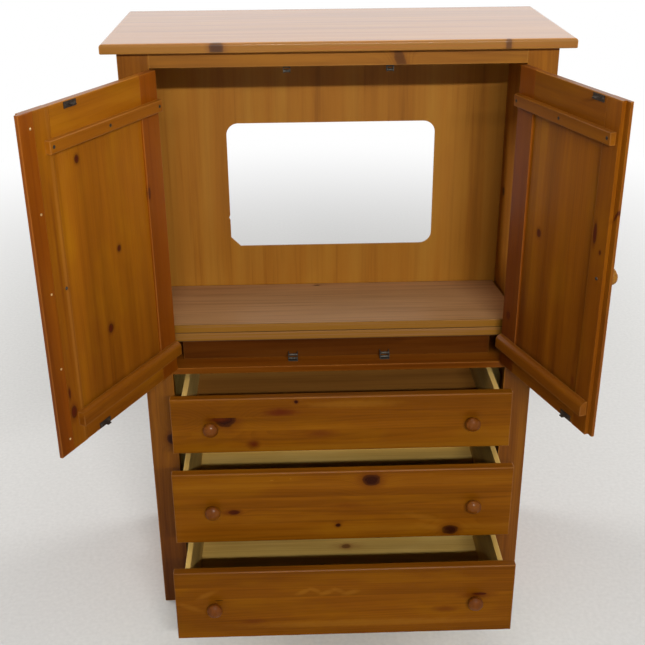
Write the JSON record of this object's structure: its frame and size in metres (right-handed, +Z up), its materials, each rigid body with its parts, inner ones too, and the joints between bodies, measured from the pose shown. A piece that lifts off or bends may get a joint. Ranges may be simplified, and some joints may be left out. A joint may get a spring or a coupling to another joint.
{
  "type": "tv armoire",
  "caption": "Stained pine cabinet with an open-backed television bay behind framed doors, a sloping platform and deep drawers below.",
  "frame": {"origin": "on the floor, at the middle of the carcass's front edge", "axes": "+X to the right seen from the front, +Y from the front to the back, +Z up"},
  "size_m": [1.0925, 0.7786, 1.414],
  "materials": {
    "stained_pine": "honey-orange stain under a semi-gloss varnish, with dark knots",
    "stained_back_ply": "thin ply, yellow-brown stain, streaky upright grain",
    "platform_board": "greyish-brown board with bright orange-yellow edges",
    "pale_pine": "unfinished pale timber",
    "knob_wood": "turned, red-brown, glossy varnish",
    "brass": "plain brass",
    "screw_steel": "dull dark steel",
    "catch_steel": "zinc-plated sheet steel"
  },
  "bodies": {
    "carcass": {"top_board": "stained_pine", "left_side_panel": "stained_pine", "right_side_panel": "stained_pine", "left_front_stile": "stained_pine", "right_front_stile": "stained_pine", "top_front_rail": "stained_pine", "top_batten": "stained_pine", "base_front_rail": "stained_pine", "drawer_rails": "stained_pine", "bottom_board": "pale_pine", "drawer_runners": "pale_pine", "divider_board": "stained_pine", "platform_bearer": "stained_pine", "platform_lower_board": "platform_board", "platform_upper_board": "platform_board", "back_panel": "stained_back_ply", "door_catches": "catch_steel", "frame_hinge_leaves": "brass"},
    "left_door": {"left_door_hinge_stile": "stained_pine", "left_door_meeting_stile": "stained_pine", "left_door_top_rail": "stained_pine", "left_door_bottom_rail": "stained_pine", "left_door_panel": "stained_pine", "left_door_closing_strip": "stained_pine", "left_door_strip_pins": "brass", "left_door_top_cleat": "stained_pine", "left_door_bottom_cleat": "stained_pine", "left_door_screws": "screw_steel", "left_door_knob": "knob_wood", "left_door_strikes": "catch_steel", "left_door_hinge_leaves": "brass"},
    "right_door": {"right_door_hinge_stile": "stained_pine", "right_door_meeting_stile": "stained_pine", "right_door_top_rail": "stained_pine", "right_door_bottom_rail": "stained_pine", "right_door_panel": "stained_pine", "right_door_top_cleat": "stained_pine", "right_door_bottom_cleat": "stained_pine", "right_door_screws": "screw_steel", "right_door_knob": "knob_wood", "right_door_strikes": "catch_steel", "right_door_hinge_leaves": "brass"},
    "upper_drawer": {"upper_drawer_front": "stained_pine", "upper_drawer_sides": "pale_pine", "upper_drawer_back": "pale_pine", "upper_drawer_bottom": "pale_pine", "upper_drawer_knobs": "knob_wood", "upper_drawer_knob_screws": "screw_steel"},
    "middle_drawer": {"middle_drawer_front": "stained_pine", "middle_drawer_sides": "pale_pine", "middle_drawer_back": "pale_pine", "middle_drawer_bottom": "pale_pine", "middle_drawer_knobs": "knob_wood", "middle_drawer_knob_screws": "screw_steel"},
    "lower_drawer": {"lower_drawer_front": "stained_pine", "lower_drawer_sides": "pale_pine", "lower_drawer_back": "pale_pine", "lower_drawer_bottom": "pale_pine", "lower_drawer_knobs": "knob_wood", "lower_drawer_knob_screws": "screw_steel"}
  },
  "joints": [
    {"name": "left_door_hinge", "type": "hinge", "parent": "carcass", "child": "left_door", "pos_m": [-0.385, 0, 1.017], "axis": [0, 0, -1], "range_deg": [-117.4, 50]},
    {"name": "right_door_hinge", "type": "hinge", "parent": "carcass", "child": "right_door", "pos_m": [0.385, 0, 1.017], "axis": [0, 0, 1], "range_deg": [-108.9, 58]},
    {"name": "upper_drawer_slide", "type": "slide", "parent": "carcass", "child": "upper_drawer", "axis": [0, -1, 0], "range_m": [-0.118, 0.182]},
    {"name": "middle_drawer_slide", "type": "slide", "parent": "carcass", "child": "middle_drawer", "axis": [0, -1, 0], "range_m": [-0.184, 0.116]},
    {"name": "lower_drawer_slide", "type": "slide", "parent": "carcass", "child": "lower_drawer", "axis": [0, -1, 0], "range_m": [-0.276, 0.024]}
  ]
}
